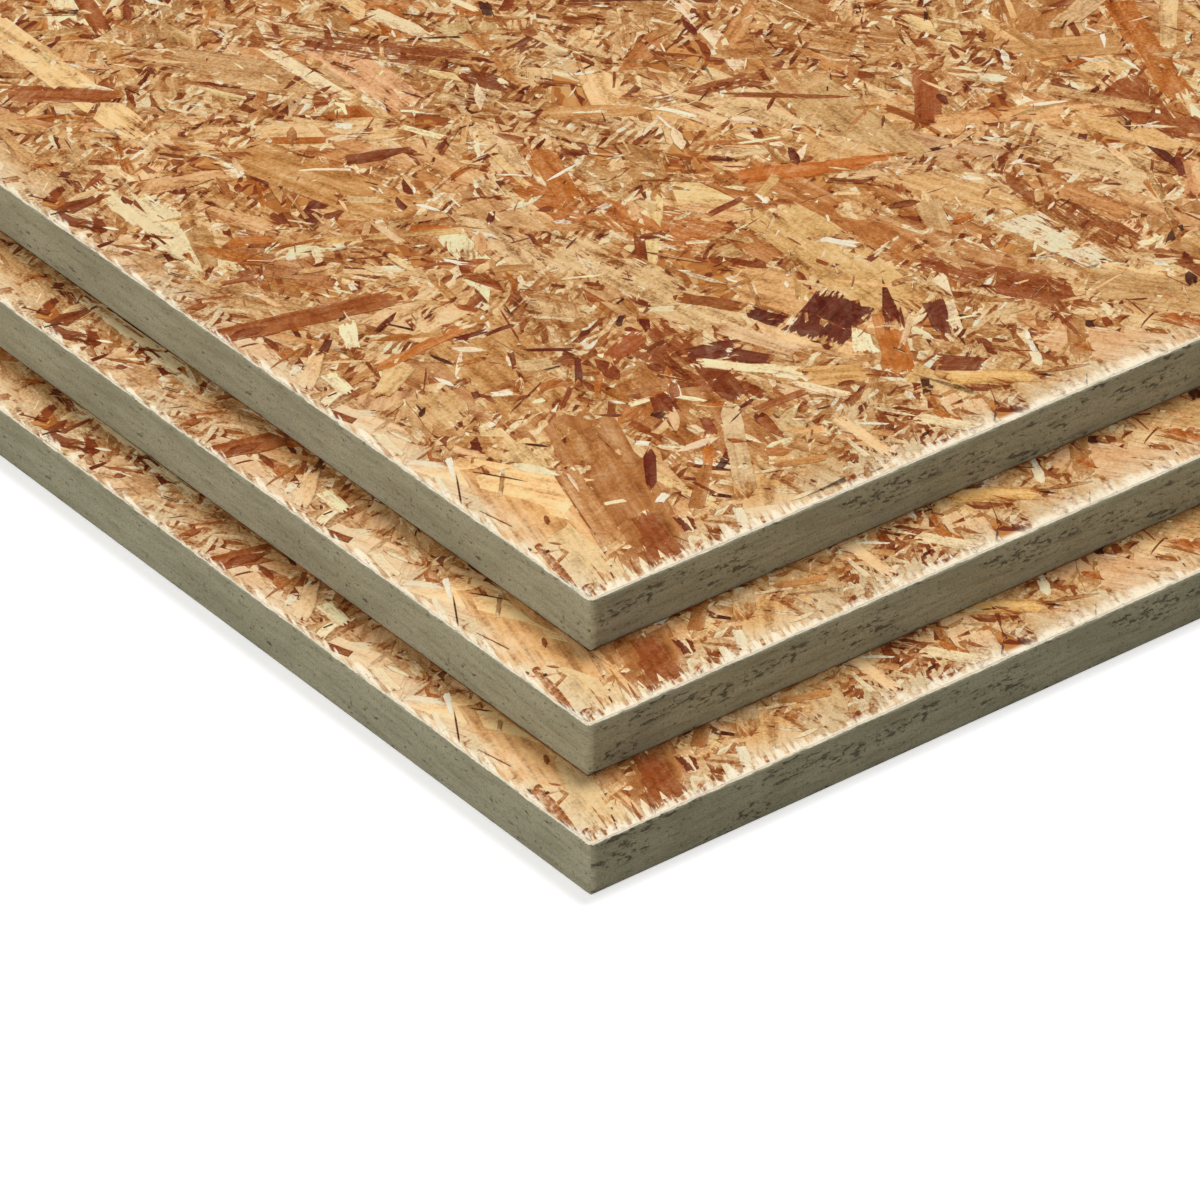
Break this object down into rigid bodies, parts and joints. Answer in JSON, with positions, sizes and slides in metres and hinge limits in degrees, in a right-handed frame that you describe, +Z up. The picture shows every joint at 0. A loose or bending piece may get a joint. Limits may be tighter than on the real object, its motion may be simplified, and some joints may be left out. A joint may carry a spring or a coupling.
{
  "type": "stack of osb panels",
  "caption": "Flat stack of oriented strand board panels with sealed square edges, each panel set back from the one below so that one corner is fanned; raw sheet stock for building.",
  "frame": {"origin": "on the floor, under the middle of the stack's outline", "axes": "+Z up, +Y along the panels' length, +X across their width; the fanned corner is at -X, -Y"},
  "size_m": [1.2654, 2.4986, 0.054],
  "materials": {
    "osb": "pressed wood strands, satin, with edges sealed in matt grey-green paint"
  },
  "bodies": {
    "root": {"bottom_panel": "osb", "middle_panel": "osb", "top_panel": "osb"}
  },
  "joints": []
}
